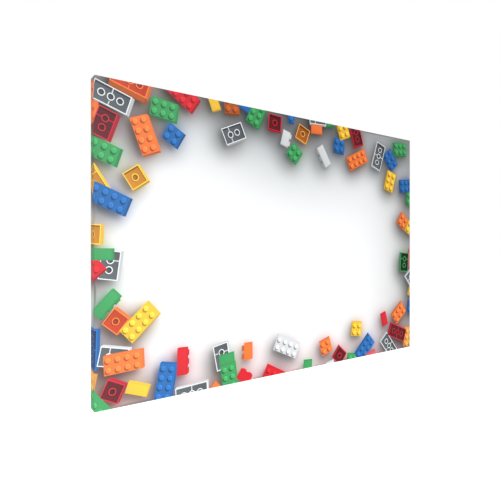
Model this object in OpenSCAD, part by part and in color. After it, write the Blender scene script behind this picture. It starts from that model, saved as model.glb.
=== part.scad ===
// Printed canvas pin board: a cork sheet on a fibreboard panel and a mitred
// pine frame, wrapped in printed canvas and hung from two D-ring hangers.
//
// Frame: +X along the board, +Z up, the printed face looks towards -Y and the
// wall is the plane y = 0. The origin is midway between the two wall hooks,
// where they bear in the raised rings.

/* [Board] */
// Width of the finished board, over the canvas
board_w = 900; // [600:5:1400]
// Height of the finished board, over the canvas
board_h = 600; // [400:5:1000]
// Distance from the backs of the bars to the wall
wall_gap = 6; // [5.5:0.25:12]

/* [Cover and pinning layers] */
// Thickness of the printed canvas
cover_t = 0.5; // [0.3:0.05:1]
// Width of the canvas turned over onto the back of the bars
hem_w = 24; // [16:1:26]
// Thickness of the cork sheet
cork_t = 5; // [3:0.5:12]
// Thickness of the fibreboard panel behind the cork
panel_t = 3; // [2:0.5:6]

/* [Wooden frame] */
// Width of a frame bar, seen from behind
bar_w = 45; // [40:1:70]
// Thickness of a frame bar, front to back
bar_t = 15; // [14:0.5:30]
// Radius on the inner back edge of each bar
bar_edge_r = 2; // [0.5:0.25:4]
// Width of the centre brace
brace_w = 40; // [34:1:60]
// Thickness of the centre brace
brace_t = 12; // [10:0.5:15]
// Diameter of the dowels that hold the brace
dowel_d = 6; // [4:0.5:8]
// Length of the dowels that hold the brace
dowel_l = 36; // [24:1:50]
// Distance between the two dowels at each end of the brace
dowel_pitch = 22; // [16:1:24]
// Thickness of the plywood keys in the mitred corners
key_t = 3; // [2:0.25:4]
// Length of a key along each outer edge
key_leg = 40; // [25:1:45]
// Glue gap around the keys and the dowels
glue_gap = 0.1; // [0.05:0.05:0.2]

/* [Panel pins and staples] */
// Shank diameter of the panel pins
pin_d = 1.4; // [1:0.1:2]
// Length of the panel pins
pin_l = 12; // [8:0.5:13]
// Largest distance between panel pins
pin_pitch = 190; // [120:5:300]
// Width of a staple across its crown
staple_w = 10; // [6:0.5:13]
// Depth to which the staple legs reach
staple_leg = 6; // [4:0.5:10]
// Largest distance between staples
staple_pitch = 78; // [40:1:150]

/* [Hangers] */
// Distance from the side of the board to the middle of a hanger
hanger_inset = 35; // [32:0.5:36]
// Distance from the top of the board down to the wall hooks
hook_drop = 48; // [46:1:120]
// Width of the hanger strap
strap_w = 11; // [10:0.5:12]
// Thickness of the strap's steel
strap_t = 1.2; // [0.8:0.1:1.3]
// Length of the strap below the ring's axis
strap_l = 36; // [32:1:60]
// Wire diameter of the D-ring
ring_wire = 2.6; // [2:0.1:3]
// Height of the ring's opening above its axis line
ring_reach = 14; // [12:0.5:24]
// Running clearance between the ring's wire and the rolled eye
ring_play = 0.08; // [0.04:0.01:0.1]
// Head diameter of the hanger screws
screw_head_d = 7; // [5:0.1:7.5]
// Thread diameter of the hanger screws
screw_d = 3.5; // [2.5:0.1:4]
// Length of the hanger screws
screw_l = 12; // [9:0.5:14]

/* [Wall bumpers] */
// Diameter of a rubber bumper where it meets the bar
bumper_d = 16; // [10:0.5:18]
// Distance from the side of the board to the middle of a bumper
bumper_inset = 90; // [80:1:200]

/* [Hidden] */
$fn = 64;
eps = 0.01;

// Depth, from the wall forwards
bar_back = -wall_gap;
bar_front = bar_back - bar_t;
panel_front = bar_front - panel_t;
cork_front = panel_front - cork_t;
cover_front = cork_front - cover_t;
hem_back = bar_back + cover_t;

// Height, with the wall hooks at zero
board_top = hook_drop;
board_mid = board_top - board_h / 2;

// The wooden frame and its layers fill the inside of the canvas
core_w = board_w - 2 * cover_t;
core_h = board_h - 2 * cover_t;

// Bare wood between the hem and the inner edge of a bar
bare_mid = (hem_w + cover_t + bar_w) / 2;

// Corner keys and dowels
key_y = bar_back - bar_t / 2;
brace_l = core_h - 2 * bar_w;
dowel_y = bar_back - brace_t / 2;

// Pins and staples
pin_head_d = 2 * pin_d;
pin_head_t = 0.8;
pin_tip_d = 0.2;
pin_from_corner = 75;
staple_t = 0.6;
staple_wire = 1.2;
staple_line = hem_w / 2;
staple_from_corner = 48;

// Hangers
ring_r = ring_wire / 2;
eye_bore_r = ring_r + ring_play;
eye_r = eye_bore_r + strap_t;
ring_y = bar_back + eye_r;
ring_z = -ring_reach;
ring_bend = 2.5;
ring_straight = strap_w / 2 + 0.5;
ring_half_w = ring_straight + ring_bend;
ring_crown_z = ring_reach + ring_r - ring_half_w;
strap_back = bar_back + 2 * strap_t;
strap_step = 2;
screw_z = [-10.5, -27];
screw_head_h = (screw_head_d - screw_d) / 2;
screw_head_dome = 0.6;
screw_fit = 0.05;
screw_play = 0.2;
screw_tip_d = 0.4;
pilot_r = screw_d / 2 - 0.5;
recess_w = 0.9;
recess_l = 3.6;
recess_deep = 1.4;
hanger_x = board_w / 2 - hanger_inset;

// Bumpers
bumper_x = board_w / 2 - bumper_inset;
bumper_z = board_h / 2 - bare_mid;
bumper_nose = 0.8;
bumper_taper = 1.5;

// Evenly spaced places from -half to half, both ends included, no further apart than pitch
function spots(half, pitch) =
    let (n = ceil(2 * half / pitch))
    [for (i = [0 : n]) -half + 2 * half * i / n];

// A box given by its lowest and highest corners
module block(low, high) {
    translate(low)
    cube(high - low);
}

// Carries a flat outline drawn in X and Z to depth y, with thickness t towards the wall
module sheet_at(y, t) {
    translate([0, y + t, 0])
    rotate([90, 0, 0])
    linear_extrude(t)
    children();
}

// Section of a bar: its outer edge at z = 0, its back at y = 0
module bar_section() {
    difference() {
        translate([-bar_t, -bar_w])
        square([bar_t, bar_w]);
        difference() {
            translate([-bar_edge_r, -bar_w])
            square([bar_edge_r, bar_edge_r]);
            translate([-bar_edge_r, -bar_w + bar_edge_r])
            circle(bar_edge_r);
        }
    }
}

// A mitred bar along X with its outer edge up, at z = 0, and its back at y = 0
module mitred_bar(length) {
    intersection() {
        rotate([90, 0, 90])
        linear_extrude(length, center = true)
        bar_section();
        sheet_at(-bar_t, bar_t)
        polygon([[-length / 2, 0], [length / 2, 0],
                 [length / 2 - bar_w, -bar_w], [-length / 2 + bar_w, -bar_w]]);
    }
}

// One right-angled corner key, or its slot when gap is the glue gap
module corner_key(gap) {
    inset = gap == 0 ? 0 : eps;
    sheet_at(key_y - key_t / 2 - gap, key_t + 2 * gap)
    polygon([[inset, inset], [-key_leg - gap, inset], [inset, -key_leg - gap]]);
}

// Puts a child made for the upper right corner of the frame at all four
module at_corners() {
    for (side = [-1, 1])
        for (end = [-1, 1])
            translate([side * core_w / 2, 0, board_mid + end * core_h / 2])
            mirror([side < 0 ? 1 : 0, 0, 0])
            mirror([0, 0, end < 0 ? 1 : 0])
            children();
}

// The dowels, or their holes when gap is the glue gap
module dowels(gap) {
    for (end = [-1, 1])
        for (side = [-1, 1])
            translate([side * dowel_pitch / 2, dowel_y, board_mid + end * brace_l / 2])
            cylinder(h = dowel_l + 2 * gap, r = dowel_d / 2 + gap, center = true);
}

// One hanger's screws, standing in the strap with their points towards the front
module hanger_screws(x) {
    for (z = screw_z)
        translate([x, strap_back, ring_z + z])
        rotate([90, 0, 0])
        difference() {
            union() {
                translate([0, 0, -screw_head_dome])
                cylinder(h = screw_head_dome, d1 = screw_head_d - 3 * screw_head_dome,
                         d2 = screw_head_d);
                cylinder(h = screw_head_h, d1 = screw_head_d, d2 = screw_d);
                cylinder(h = screw_l - screw_d, d = screw_d);
                translate([0, 0, screw_l - screw_d])
                cylinder(h = screw_d, d1 = screw_d, d2 = screw_tip_d);
            }
            for (turn = [0, 90])
                rotate(turn)
                translate([-recess_l / 2, -recess_w / 2, -screw_head_dome - eps])
                cube([recess_l, recess_w, recess_deep]);
        }
}

// Pilot holes for one hanger's screws
module pilot_holes(x) {
    for (z = screw_z)
        translate([x, bar_back + eps, ring_z + z])
        rotate([90, 0, 0])
        cylinder(h = screw_l - 2 * strap_t, r = pilot_r);
}

// A folded steel strap whose rolled eye carries the ring
module hanger_strap(x) {
    translate([x, 0, ring_z])
    difference() {
        intersection() {
            rotate([90, 0, 90])
            linear_extrude(strap_w, center = true)
            union() {
                translate([ring_y, 0])
                circle(eye_r);
                translate([bar_back, -strap_l])
                square([strap_t, strap_l]);
                translate([bar_back + strap_t, -strap_l + strap_step])
                square([strap_t, strap_l - strap_step - eye_bore_r]);
            }
            sheet_at(bar_back - 1, 3 * eye_r)
            union() {
                translate([-strap_w / 2, -strap_l + strap_w / 2])
                square([strap_w, strap_l]);
                translate([0, -strap_l + strap_w / 2])
                circle(strap_w / 2);
            }
        }
        translate([0, ring_y, 0])
        rotate([0, 90, 0])
        cylinder(h = strap_w + 2, r = eye_bore_r, center = true);
        for (z = screw_z)
            translate([0, strap_back + eps, z])
            rotate([90, 0, 0]) {
                cylinder(h = 2 * strap_t + 1, r = screw_d / 2 + screw_play);
                cylinder(h = screw_head_h, r1 = screw_head_d / 2 + screw_fit,
                         r2 = screw_d / 2 + screw_fit);
            }
    }
}

// A D-ring of round wire, standing up from its axis
module d_ring(x) {
    translate([x, ring_y, ring_z]) {
        rotate([0, 90, 0])
        cylinder(h = 2 * ring_straight, r = ring_r, center = true);
        for (side = [0, 1])
            mirror([side, 0, 0]) {
                translate([ring_straight, 0, ring_bend])
                rotate([90, 0, 0])
                rotate(-90)
                rotate_extrude(angle = 90)
                translate([ring_bend, 0])
                circle(ring_r);
                translate([ring_half_w, 0, ring_bend])
                cylinder(h = ring_crown_z - ring_bend, r = ring_r);
            }
        translate([0, 0, ring_crown_z])
        rotate([90, 0, 0])
        rotate_extrude(angle = 180)
        translate([ring_half_w, 0])
        circle(ring_r);
    }
}

// A turned rubber bumper between a bar and the wall
module bumper(side, end) {
    translate([side * bumper_x, bar_back, board_mid + end * bumper_z])
    rotate([-90, 0, 0])
    rotate_extrude()
    polygon([[0, 0], [bumper_d / 2, 0], [bumper_d / 2 - bumper_taper, wall_gap - bumper_nose],
             [bumper_d / 2 - bumper_taper - bumper_nose, wall_gap], [0, wall_gap]]);
}

// A round-headed panel pin whose head is flush with the panel's front
module panel_pin() {
    rotate([-90, 0, 0]) {
        cylinder(h = pin_head_t, d = pin_head_d);
        cylinder(h = pin_l - pin_d, d = pin_d);
        translate([0, 0, pin_l - pin_d])
        cylinder(h = pin_d, d1 = pin_d, d2 = pin_tip_d);
    }
}

// A staple with its crown along X on the hem and its legs in the bar
module staple() {
    block([-staple_w / 2, 0, -staple_wire / 2], [staple_w / 2, staple_t, staple_wire / 2]);
    for (side = [-1, 1])
        translate([side * (staple_w - staple_t) / 2, 0, 0])
        block([-staple_t / 2, -cover_t - staple_leg, -staple_wire / 2],
              [staple_t / 2, eps, staple_wire / 2]);
}

module printed_cover() {
    color("whitesmoke")
    difference() {
        block([-board_w / 2, cover_front, board_mid - board_h / 2],
              [board_w / 2, hem_back, board_mid + board_h / 2]);
        block([-core_w / 2, cork_front, board_mid - core_h / 2],
              [core_w / 2, bar_back, board_mid + core_h / 2]);
        block([-board_w / 2 + hem_w, cork_front, board_mid - board_h / 2 + hem_w],
              [board_w / 2 - hem_w, hem_back + 1, board_mid + board_h / 2 - hem_w]);
    }
}

module cork_sheet() {
    color("peru")
    block([-core_w / 2, cork_front, board_mid - core_h / 2],
          [core_w / 2, panel_front, board_mid + core_h / 2]);
}

module backing_panel() {
    color("sienna")
    block([-core_w / 2, panel_front, board_mid - core_h / 2],
          [core_w / 2, bar_front, board_mid + core_h / 2]);
}

// A bar across the board: end is 1 for the top and -1 for the bottom
module long_bar(end) {
    color("burlywood")
    difference() {
        translate([0, bar_back, board_mid + end * core_h / 2])
        mirror([0, 0, end < 0 ? 1 : 0])
        mitred_bar(core_w);
        at_corners()
        corner_key(glue_gap);
        dowels(glue_gap);
    }
}

// A bar up the board: side is -1 for the left and 1 for the right
module short_bar(side) {
    color("burlywood")
    difference() {
        translate([side * core_w / 2, bar_back, board_mid])
        rotate([0, side * 90, 0])
        mitred_bar(core_h);
        at_corners()
        corner_key(glue_gap);
        pilot_holes(side * hanger_x);
    }
}

module centre_brace() {
    color("burlywood")
    difference() {
        block([-brace_w / 2, bar_back - brace_t, board_mid - brace_l / 2],
              [brace_w / 2, bar_back, board_mid + brace_l / 2]);
        dowels(glue_gap);
    }
}

module corner_keys() {
    color("tan")
    at_corners()
    corner_key(0);
}

module brace_dowels() {
    color("wheat")
    dowels(0);
}

module panel_pins() {
    color("silver") {
        for (x = spots(core_w / 2 - pin_from_corner, pin_pitch))
            for (end = [-1, 1])
                translate([x, panel_front, board_mid + end * (core_h - bar_w) / 2])
                panel_pin();
        for (z = spots(core_h / 2 - pin_from_corner, pin_pitch))
            for (side = [-1, 1])
                translate([side * (core_w - bar_w) / 2, panel_front, board_mid + z])
                panel_pin();
    }
}

module cover_staples() {
    color("silver") {
        for (x = spots(board_w / 2 - staple_from_corner, staple_pitch))
            for (end = [-1, 1])
                translate([x, hem_back, board_mid + end * (board_h / 2 - staple_line)])
                staple();
        for (z = spots(board_h / 2 - staple_from_corner, staple_pitch))
            for (side = [-1, 1])
                translate([side * (board_w / 2 - staple_line), hem_back, board_mid + z])
                rotate([0, 90, 0])
                staple();
    }
}

module top_bar() { long_bar(1); }
module bottom_bar() { long_bar(-1); }
module left_bar() { short_bar(-1); }
module right_bar() { short_bar(1); }
module left_hanger_strap() { color("lightgray") hanger_strap(-hanger_x); }
module right_hanger_strap() { color("lightgray") hanger_strap(hanger_x); }
module left_hanger_screws() { color("darkgray") hanger_screws(-hanger_x); }
module right_hanger_screws() { color("darkgray") hanger_screws(hanger_x); }
module left_ring() { color("gainsboro") d_ring(-hanger_x); }
module right_ring() { color("gainsboro") d_ring(hanger_x); }
module upper_left_bumper() { color("dimgray") bumper(-1, 1); }
module upper_right_bumper() { color("dimgray") bumper(1, 1); }
module lower_left_bumper() { color("dimgray") bumper(-1, -1); }
module lower_right_bumper() { color("dimgray") bumper(1, -1); }

printed_cover();
cork_sheet();
backing_panel();
top_bar();
bottom_bar();
left_bar();
right_bar();
centre_brace();
corner_keys();
brace_dowels();
panel_pins();
cover_staples();
left_hanger_strap();
right_hanger_strap();
left_hanger_screws();
right_hanger_screws();
left_ring();
right_ring();
upper_left_bumper();
upper_right_bumper();
lower_left_bumper();
lower_right_bumper();
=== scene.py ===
# %% [markdown]
# # A printed canvas pin board
# The board is a cork sheet on a wooden frame, wrapped in printed canvas and
# hung from two D-rings. The frame, the fittings and every moving piece come
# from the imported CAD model. This lesson adds what CAD leaves out: the printed
# cloth that is folded round the frame, its staples and loose threads, and the
# finish of every surface.

# %% Load the frame
import math

import bmesh
import bpy
import numpy as np
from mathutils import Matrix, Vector
from mathutils.geometry import delaunay_2d_cdt


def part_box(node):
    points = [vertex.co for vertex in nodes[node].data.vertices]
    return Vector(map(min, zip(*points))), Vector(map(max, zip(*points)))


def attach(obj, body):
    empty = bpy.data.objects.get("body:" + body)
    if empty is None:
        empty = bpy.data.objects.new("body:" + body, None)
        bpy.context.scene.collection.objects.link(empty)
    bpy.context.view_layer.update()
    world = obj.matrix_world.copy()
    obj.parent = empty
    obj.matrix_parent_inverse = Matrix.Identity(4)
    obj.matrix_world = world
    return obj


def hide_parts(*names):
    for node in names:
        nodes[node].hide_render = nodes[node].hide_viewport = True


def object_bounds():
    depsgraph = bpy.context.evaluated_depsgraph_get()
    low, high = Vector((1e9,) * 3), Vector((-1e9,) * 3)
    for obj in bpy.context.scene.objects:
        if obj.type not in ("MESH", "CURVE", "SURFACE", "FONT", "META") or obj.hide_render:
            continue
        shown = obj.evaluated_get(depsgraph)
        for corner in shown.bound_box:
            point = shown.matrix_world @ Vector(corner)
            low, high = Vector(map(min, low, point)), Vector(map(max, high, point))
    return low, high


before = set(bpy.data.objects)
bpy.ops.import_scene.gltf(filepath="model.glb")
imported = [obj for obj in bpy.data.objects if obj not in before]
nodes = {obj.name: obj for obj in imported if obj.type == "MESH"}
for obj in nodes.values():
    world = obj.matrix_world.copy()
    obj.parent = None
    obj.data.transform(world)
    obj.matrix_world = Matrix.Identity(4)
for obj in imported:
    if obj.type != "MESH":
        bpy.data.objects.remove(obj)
cad_low, cad_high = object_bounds()

# %% [markdown]
# ## The board's measures
# Everything is placed from the CAD boxes. The print is laid out in
# millimetres on the flat cloth, as a printer would do it: u runs to the right
# and v runs down from the face's top left corner. Cloth with a negative u or
# v, or past the face's width or height, goes round the sides.

# %% Read the measures
MM = 0.001
cover_low, cover_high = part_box("printed_cover")
FACE_W = (cover_high.x - cover_low.x) / MM
FACE_H = (cover_high.z - cover_low.z) / MM
SIDE_D = (cover_high.y - cover_low.y) / MM
FRONT_Y = cover_low.y
HEM_Y = cover_high.y
MID_Z = (cover_low.z + cover_high.z) / 2
STAPLE_WIRE = 1.2
staple_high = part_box("cover_staples")[1]
STAPLE_LINE = (cover_high.x - staple_high.x) / MM + STAPLE_WIRE / 2
HEM_W = 2 * STAPLE_LINE
HALF_W = FACE_W / 2
HALF_H = FACE_H / 2
print(f"face {FACE_W:.0f} x {FACE_H:.0f} mm, sides {SIDE_D:.0f} mm, hem {HEM_W:.0f} mm")

# %% [markdown]
# ## The inks
# Screen colours are given as 0 to 255, as a printer's swatch book gives them,
# and turned into the linear values that Blender works in. A brick that lies
# upside down shows a darker hollow, so each ink has a second colour.

# %% Mix the inks


def ink(red, green, blue):
    """A linear colour from a screen colour."""
    c = np.array([red, green, blue], float) / 255
    return np.where(c <= 0.04045, c / 12.92, ((c + 0.055) / 1.055) ** 2.4)


INKS = {
    "white": (ink(240, 242, 244), ink(100, 107, 112)),
    "orange": (ink(272, 136, 66), ink(212, 72, 34)),
    "amber": (ink(258, 180, 86), ink(184, 104, 36)),
    "rust": (ink(200, 100, 44), ink(150, 60, 24)),
    "yellow": (ink(274, 216, 68), ink(220, 146, 50)),
    "red": (ink(236, 42, 54), ink(150, 34, 42)),
    "wine": (ink(212, 40, 60), ink(106, 24, 32)),
    "rose": (ink(240, 110, 116), ink(160, 50, 56)),
    "green": (ink(74, 176, 104), ink(6, 42, 24)),
    "blue": (ink(46, 118, 194), ink(34, 60, 108)),
}
print("inks:", ", ".join(INKS))

# %% [markdown]
# ## The picture's layout
# The picture is studded toy bricks tipped out round a clear white middle. One
# row places one brick: how it lies, its ink, how many studs long and wide it
# is, where its middle is, and its turn in degrees, clockwise. The bricks are
# listed from the lowest to the topmost, because some lie on others.

# %% Lay the bricks out
STUD_PITCH = 18.0
BRICK_H = 1.2 * STUD_PITCH
UP, UNDER, SIDE = "studs up", "upside down", "on its side"
# how it lies, ink, length, width, middle u, middle v, turn
BRICKS = [
    (UP, "orange", 4, 2, -17, 45, 84),
    (SIDE, "rust", 4, 0, 61, 14, 17),
    (UNDER, "orange", 4, 2, 66, -3, 17),
    (UNDER, "wine", 3, 2, 16, 83, 110),
    (UNDER, "white", 4, 2, 29, 34, 18.5),
    (UP, "green", 3, 2, 132, 39, 8),
    (UP, "red", 4, 2, 170, 1, 34),
    (SIDE, "yellow", 3, 0, 240, -4, 68),
    (UP, "rust", 2, 2, 287, 4, -5),
    (SIDE, "blue", 2, 0, 321, -2, 25),
    (UP, "green", 4, 2, 356, 4, -64),
    (UNDER, "wine", 2, 2, 404, 24, 4),
    (UP, "blue", 1, 2, 453, -2, 5),
    (UNDER, "white", 3, 2, 293, 64, -24),
    (UP, "orange", 4, 2, 93, 94, 69),
    (UP, "blue", 2, 2, 151, 87, 31),
    (UP, "green", 4, 2, 7, 131, 19),
    (UNDER, "yellow", 2, 2, 75, 176, -34),
    (UNDER, "yellow", 3, 2, -5, 188, 56),
    (UP, "blue", 4, 2, 25, 219, 22.5),
    (UNDER, "yellow", 2, 2, -7, 283, 3),
    (UNDER, "white", 3, 2, 27, 339, 98),
    (UP, "red", 2, 2, -8, 345, 50),
    (SIDE, "green", 3, 0, 5, 319, 1),
    (UNDER, "blue", 4, 2, -14, 489, 92),
    (SIDE, "green", 3, 1, 20, 409, -46),
    (UNDER, "orange", 2, 2, 38, 442, 40),
    (UP, "yellow", 4, 2, 83, 448, -43),
    (UNDER, "white", 3, 2, 34, 507, 12),
    (UP, "orange", 4, 2, 52, 519, -3),
    (UNDER, "wine", 2, 2, 32, 569, 26),
    (SIDE, "yellow", 2.4, 0, 79, 573, 20),
    (UP, "amber", 2, 2, -21, 549, 12),
    (UP, "green", 4, 2, -1, 600, 50),
    (UP, "blue", 4, 2, 135, 570, 101),
    (SIDE, "red", 3, -1, 171, 535, 91),
    (UNDER, "white", 4, 2, 193, 603, -3),
    (UNDER, "white", 3, 2, 264, 538, 79),
    (UP, "orange", 2, 2, 245, 615, 45),
    (UP, "green", 3, 2, 281, 584, 82),
    (SIDE, "green", 2, 0, 275, 545, -5),
    (SIDE, "orange", 2, 1, 330, 536, 90),
    (SIDE, "red", 2, -1, 320, 591, 36),
    (UP, "white", 4, 2, 439, 540, 24),
    (UP, "red", 4, 2, 406, 607, 28),
    (SIDE, "green", 1.5, 0, 504, 592, 4),
    (UP, "orange", 2, 2, 564, 556, -17),
    (SIDE, "white", 1.5, 0, 580, 606, -12),
    (UNDER, "wine", 2, 2, 612, 585, 40),
    (UP, "green", 2, 2, 658, 606, 10),
    (UP, "blue", 4, 2, 707, 579, -43),
    (UP, "yellow", 2, 2, 675, 524, 6),
    (UP, "rose", 2, 2, 735, 611, -14),
    (UNDER, "white", 4, 2, 806, 585, 50),
    (SIDE, "red", 2, 0, 786, 509, 73),
    (UP, "orange", 3, 2, 850, 497, -39),
    (UP, "amber", 3, 2, 893, 571, 97),
    (UNDER, "wine", 4, 2, 843, 552, 21),
    (UP, "blue", 2, 2, 909, 485, 10),
    (UP, "yellow", 2, 2, 915, 438, 20),
    (UNDER, "white", 3, 2, 909, 404, 50),
    (SIDE, "rose", 3, 0, 905, 343, 92),
    (UNDER, "green", 3, 2, 874, 353, 94),
    (UP, "yellow", 2, 2, 902, 255, 30),
    (UP, "orange", 2, 2, 867, 235, 38),
    (UP, "green", 2, 2, 903, 171, 10),
    (UP, "blue", 3, 2, 882, 133, -6),
    (UP, "blue", 3, 2, 813, 66, 52),
    (UP, "yellow", 3, 2, 811, 126, 108),
    (UP, "green", 3, 2, 855, 31, -4),
    (UNDER, "white", 4, 2, 762, 61, 109),
    (UNDER, "wine", 3, 2, 675, 17, 72),
    (UP, "orange", 4, 2, 678, 79, -25),
    (UP, "blue", 2, 2, 611, 51, 5),
    (UP, "yellow", 2, 2, 627, 12, -22),
    (UP, "green", 2, 2, 575, -12, -10),
    (UNDER, "white", 3, 2, 537, -10, -3),
    (SIDE, "orange", 2, 0, 533, 20, -2),
    (UNDER, "amber", 2, 2, 488, 38, 22),
    (SIDE, "white", 2, -1, 435, 55, 105),
    (UP, "green", 2, 2, 462, 87, 38),
    (SIDE, "white", 3, 1, 558, 83, 57),
]
print("bricks in the picture:", len(BRICKS))

# %% [markdown]
# ## Patches of ink
# Each brick is drawn as flat patches, laid one over another as cut paper
# would be: the sides that face the middle, the top, and then studs or hollow.
# A patch is an outline, an ink and a slope that makes the ink a little
# lighter towards the lamp, which is up and to the right.

# %% Helpers for patches
TO_LAMP = np.array([0.7071, -0.7071])
MIDDLE = np.array([HALF_W, HALF_H])
EDGE_STEP = 6.0
LEAN = 0.012
patches = []


def put(outline, colour, slope=0.0):
    """Lays a patch of ink down, lighter towards the lamp by slope per millimetre."""
    patches.append((np.asarray(outline, float), np.asarray(colour, float), slope))


def turned(points, middle, degrees):
    """Points about the origin, turned clockwise on the page and carried to a middle."""
    a = math.radians(degrees)
    turn = np.array([[math.cos(a), math.sin(a)], [-math.sin(a), math.cos(a)]])
    return np.asarray(points, float) @ turn + np.asarray(middle, float)


def box_outline(low_u, low_v, high_u, high_v):
    """Corners of an upright box, clockwise on the page."""
    return np.array([[low_u, low_v], [high_u, low_v], [high_u, high_v], [low_u, high_v]])


def disc(middle, radius, sides=20):
    """An outline of a circle."""
    a = np.linspace(0, 2 * math.pi, sides, endpoint=False)
    return np.asarray(middle) + radius * np.stack([np.cos(a), np.sin(a)], axis=1)


def stepped(outline):
    """The outline with its long edges divided, so that shading can change along them."""
    out = []
    for a, b in zip(outline, np.roll(outline, -1, axis=0)):
        count = max(1, round(float(np.linalg.norm(b - a)) / EDGE_STEP))
        out += [a + (b - a) * k / count for k in range(count)]
    return np.array(out)


def lean(middle, height):
    """How far a brick's foot is seen from its top, for an eye above the picture's middle."""
    return (MIDDLE - np.asarray(middle, float)) * LEAN * height / BRICK_H


print("lamp direction on the page:", TO_LAMP)

# %% [markdown]
# ## Drawing a brick
# Three short functions draw the three ways that a brick lies. A stud is a
# dark crescent on the side away from the lamp, a wall and a bright top. A
# hollow is a rim round a dark floor, with a ring for each tube and a rib from
# the middle tube to the walls. Lengths are in millimetres and shades are parts
# of the ink: 1 is the ink itself and 0 is black.

# %% Draw the bricks
STUD_R = 0.3 * STUD_PITCH
TUBE_R = 0.4 * STUD_PITCH
BORE_R = 0.29 * STUD_PITCH
WALL_T = 0.1 * STUD_PITCH
RIB_T = 0.06 * STUD_PITCH
STUD_H = 0.27 * STUD_PITCH
HOLLOW_SHADE = 0.2 * STUD_PITCH
HOLLOW_DEPTH = 0.6 * BRICK_H
SIDE_SEEN = 0.3
SIDE_DARK, SIDE_LIT = 0.45, 0.4
TOP_SHADE = 0.84
# a stud's shadow: shift in pitches, darkness
STUD_SHADOWS = ((0.24, 0.3), (0.16, 0.6))
STUD_WALL = 0.6
# a stud's top: shift, share of the radius, shade, slope
STUD_TOPS = ((0.7, 0.94, 1.2, 0.04), (0.4, 0.6, 1.08, 0.02))
RIM_SHADE, RIB_SHADE = 1.08, 0.8
WALL_SHADOW, FLOOR_SHADE = 0.38, 0.9
TUBE_SHADOW, BORE_SHADE, BORE_FLOOR = 0.45, 0.34, 0.6
# lines inside a side's edge: inset in pitches, shade
SIDE_RIMS = ((0.05, 0.66), (0.09, 0.86))


def draw_sides(outline, foot, colour):
    """The sides that an eye above the middle sees, from the top's outline to the foot's."""
    for a, b in zip(outline, np.roll(outline, -1, axis=0)):
        along = (b - a) / np.linalg.norm(b - a)
        out = np.array([along[1], -along[0]])
        if out @ foot > SIDE_SEEN:
            lit = SIDE_DARK + SIDE_LIT * max(0.0, float(out @ TO_LAMP))
            put(stepped(np.array([a, b, b + foot, a + foot])), colour * lit)


def draw_up(long, wide, middle, turn, colours):
    """A brick with its studs up."""
    body = colours[0]
    half = np.array([long, wide]) * STUD_PITCH / 2
    top = turned(box_outline(*-half, *half), middle, turn)
    draw_sides(top, lean(middle, BRICK_H), body)
    put(stepped(top), body * TOP_SHADE, 0.002)
    rise = -lean(middle, STUD_H)
    deep = 0.8 + 0.2 * middle[0] / FACE_W
    for i in range(long):
        for j in range(wide):
            spot = [(i + 0.5) * STUD_PITCH - half[0], (j + 0.5) * STUD_PITCH - half[1]]
            spot = turned([spot], middle, turn)[0]
            for shift, dark in STUD_SHADOWS:
                shadow = spot - TO_LAMP * STUD_PITCH * shift
                put(disc(shadow, STUD_R), body * (TOP_SHADE - dark * deep))
            put(disc(spot, STUD_R), body * STUD_WALL)
            for shift, share, shade, slope in STUD_TOPS:
                put(disc(spot + rise + TO_LAMP * shift, STUD_R * share), body * shade, slope)


def draw_under(long, wide, middle, turn, colours):
    """A brick that lies upside down, so its hollow shows."""
    body, hollow = colours
    half = np.array([long, wide]) * STUD_PITCH / 2
    top = turned(box_outline(*-half, *half), middle, turn)
    draw_sides(top, lean(middle, BRICK_H), body)
    put(stepped(top), body * RIM_SHADE, 0.001)
    inner = half - WALL_T
    put(turned(box_outline(*-inner, *inner), middle, turn), hollow * WALL_SHADOW)
    sunk = turned([lean(middle, HOLLOW_DEPTH) - TO_LAMP * HOLLOW_SHADE], (0, 0), -turn)[0]
    low, high = np.maximum(-inner, -inner + sunk), np.minimum(inner, inner + sunk)
    put(turned(box_outline(*low, *high), middle, turn), hollow * FLOOR_SHADE, -0.006)
    for i in range(1, long):
        along = i * STUD_PITCH - half[0]
        if long > 2 and i == long // 2:
            rib = box_outline(along - RIB_T, -inner[1], along + RIB_T, inner[1])
            put(turned(rib, middle, turn), body * RIB_SHADE)
        tube = turned([[along, 0]], middle, turn)[0]
        put(disc(tube - TO_LAMP * 1.6, TUBE_R), hollow * TUBE_SHADOW)
        put(disc(tube, TUBE_R, 24), body)
        put(disc(tube, BORE_R), hollow * BORE_SHADE)
        put(disc(tube - TO_LAMP * 1.3, BORE_R * 0.66, 14), hollow * BORE_FLOOR)


def draw_on_side(long, studs, middle, turn, colours):
    """A brick on its long side. Its studs point across it, one way or the other, or away."""
    body = colours[0]
    half = np.array([long * STUD_PITCH, BRICK_H]) / 2
    top = turned(box_outline(*-half, *half), middle, turn)
    foot = lean(middle, 0.8 * STUD_PITCH)
    draw_sides(top, foot, body)
    facing = turned([[0, studs]], (0, 0), turn)[0] @ TO_LAMP
    for i in range(long if studs else 0):
        at = (i + 0.5) * STUD_PITCH - half[0]
        near, far = sorted((studs * half[1], studs * (half[1] + STUD_H)))
        stud = turned(box_outline(at - STUD_R, near, at + STUD_R, far), middle, turn)
        put(stud - TO_LAMP * 1.5, body * 0.4)
        put(stepped(stud), body * (0.68 + 0.26 * facing))
    put(stepped(top), body * TOP_SHADE, 0.003)
    for inset, shade in SIDE_RIMS:
        rim = half - inset * STUD_PITCH
        put(turned(box_outline(*-rim, *rim), middle, turn), body * shade, 0.004)


for lies, name, long, wide, u, v, turn in BRICKS:
    draw = {UP: draw_up, UNDER: draw_under, SIDE: draw_on_side}[lies]
    draw(long, wide, (u, v), turn, INKS[name])
print("patches of ink:", len(patches))

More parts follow.
